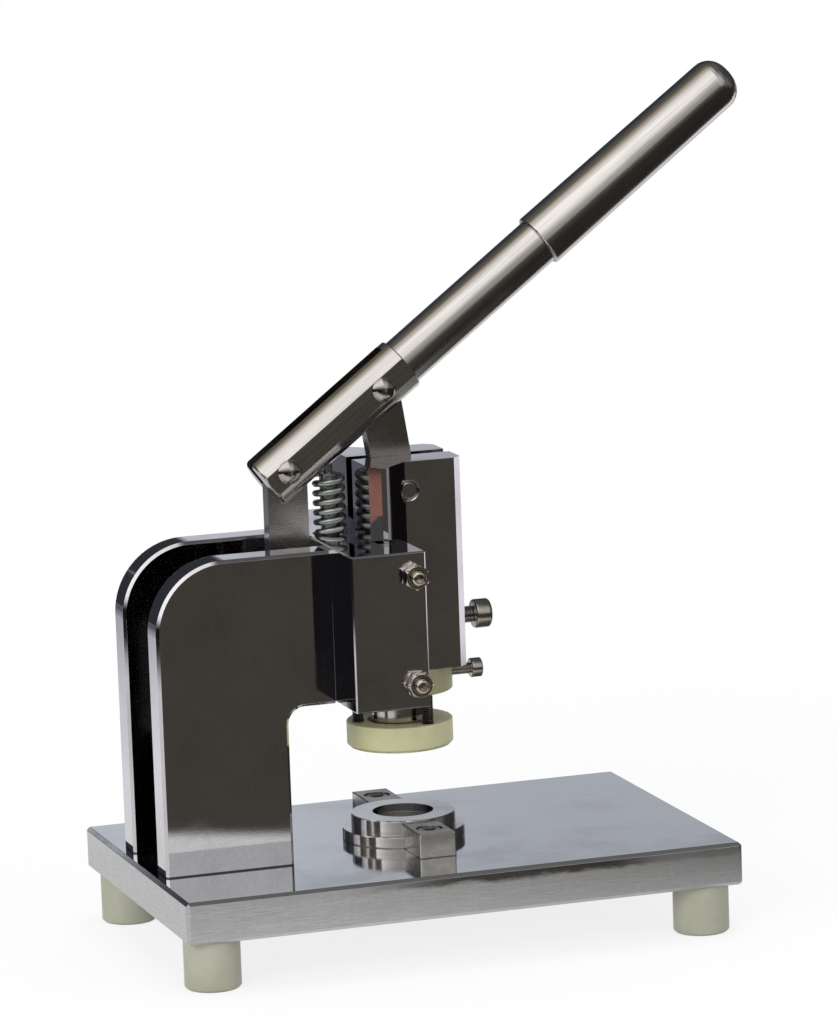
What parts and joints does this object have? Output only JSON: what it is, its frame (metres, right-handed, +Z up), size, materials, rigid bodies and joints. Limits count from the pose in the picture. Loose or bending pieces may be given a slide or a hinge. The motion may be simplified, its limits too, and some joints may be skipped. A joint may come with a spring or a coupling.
{
  "type": "hand lever disc punch",
  "caption": "Hand lever press that cuts round discs from foil and thin sheet, with a dovetail ram, a punch, a clamped die and a sprung stripper ring.",
  "frame": {"origin": "middle of the base plate's outline, on the bench under the feet", "axes": "+X along the base plate's long side towards the front, where the grip points, +Y to the far side, away from the set screws, +Z up along the ram's travel"},
  "size_m": [0.2298, 0.13, 0.2971],
  "materials": {
    "chrome_plate": "polished",
    "satin_steel": "satin",
    "bright_screws": "bright",
    "screw_steel": "satin",
    "tool_steel": "ground",
    "spring_steel": "bright",
    "black_springs": "blackened",
    "nylon": "matte"
  },
  "bodies": {
    "frame": {"base_plate": "chrome_plate", "feet": "nylon", "foot_screws": "screw_steel", "side_plate_near": "chrome_plate", "side_plate_far": "chrome_plate", "plate_screws": "screw_steel", "guide_block": "chrome_plate", "guide_screws": "screw_steel", "gib": "satin_steel", "gib_set_screws": "bright_screws", "gib_lock_nuts": "bright_screws", "fulcrum_post": "satin_steel", "post_screws": "screw_steel", "spring_guide_rod": "screw_steel", "return_spring": "spring_steel", "die": "tool_steel", "die_clamp_near": "satin_steel", "die_clamp_far": "satin_steel", "die_clamp_screws": "bright_screws"},
    "lever_body": {"lever": "satin_steel", "lever_grip": "satin_steel", "fulcrum_pin": "bright_screws", "link_upper_pin": "bright_screws"},
    "link_body": {"link": "satin_steel"},
    "ram_body": {"ram": "chrome_plate", "link_lower_pin": "bright_screws", "punch": "tool_steel", "punch_clamp_screw": "bright_screws", "spring_collar": "nylon", "collar_screw": "bright_screws", "stripper_springs": "black_springs"},
    "stripper_body": {"stripper_ring": "nylon"}
  },
  "joints": [
    {"name": "lever_hinge", "type": "hinge", "parent": "frame", "child": "lever_body", "pos_m": [-0.0411, 0, 0.16615], "axis": [0, 1, 0], "range_deg": [0, 35.7], "stiffness_Nm_per_rad": 2, "springref_deg": -34.38, "deforming": ["return_spring"]},
    {"name": "ram_slide", "type": "slide", "parent": "frame", "child": "ram_body", "axis": [0, 0, -1], "range_m": [0, 0.0252]},
    {"name": "link_hinge", "type": "hinge", "parent": "lever_body", "child": "link_body", "pos_m": [-0.00609, 0, 0.19196], "axis": [0, 1, 0], "range_deg": [-21.8, 0]},
    {"name": "stripper_slide", "type": "slide", "parent": "ram_body", "child": "stripper_body", "axis": [0, 0, 1], "range_m": [0, 0.0015], "deforming": ["stripper_springs"]}
  ],
  "couplings": [
    {"joint": "ram_slide", "follows": "lever_hinge", "m_per_rad": 0.04044},
    {"joint": "link_hinge", "follows": "lever_hinge", "ratio": -0.6095},
    {"joint": "stripper_slide", "follows": "lever_hinge", "m_per_rad": 0.0024}
  ]
}
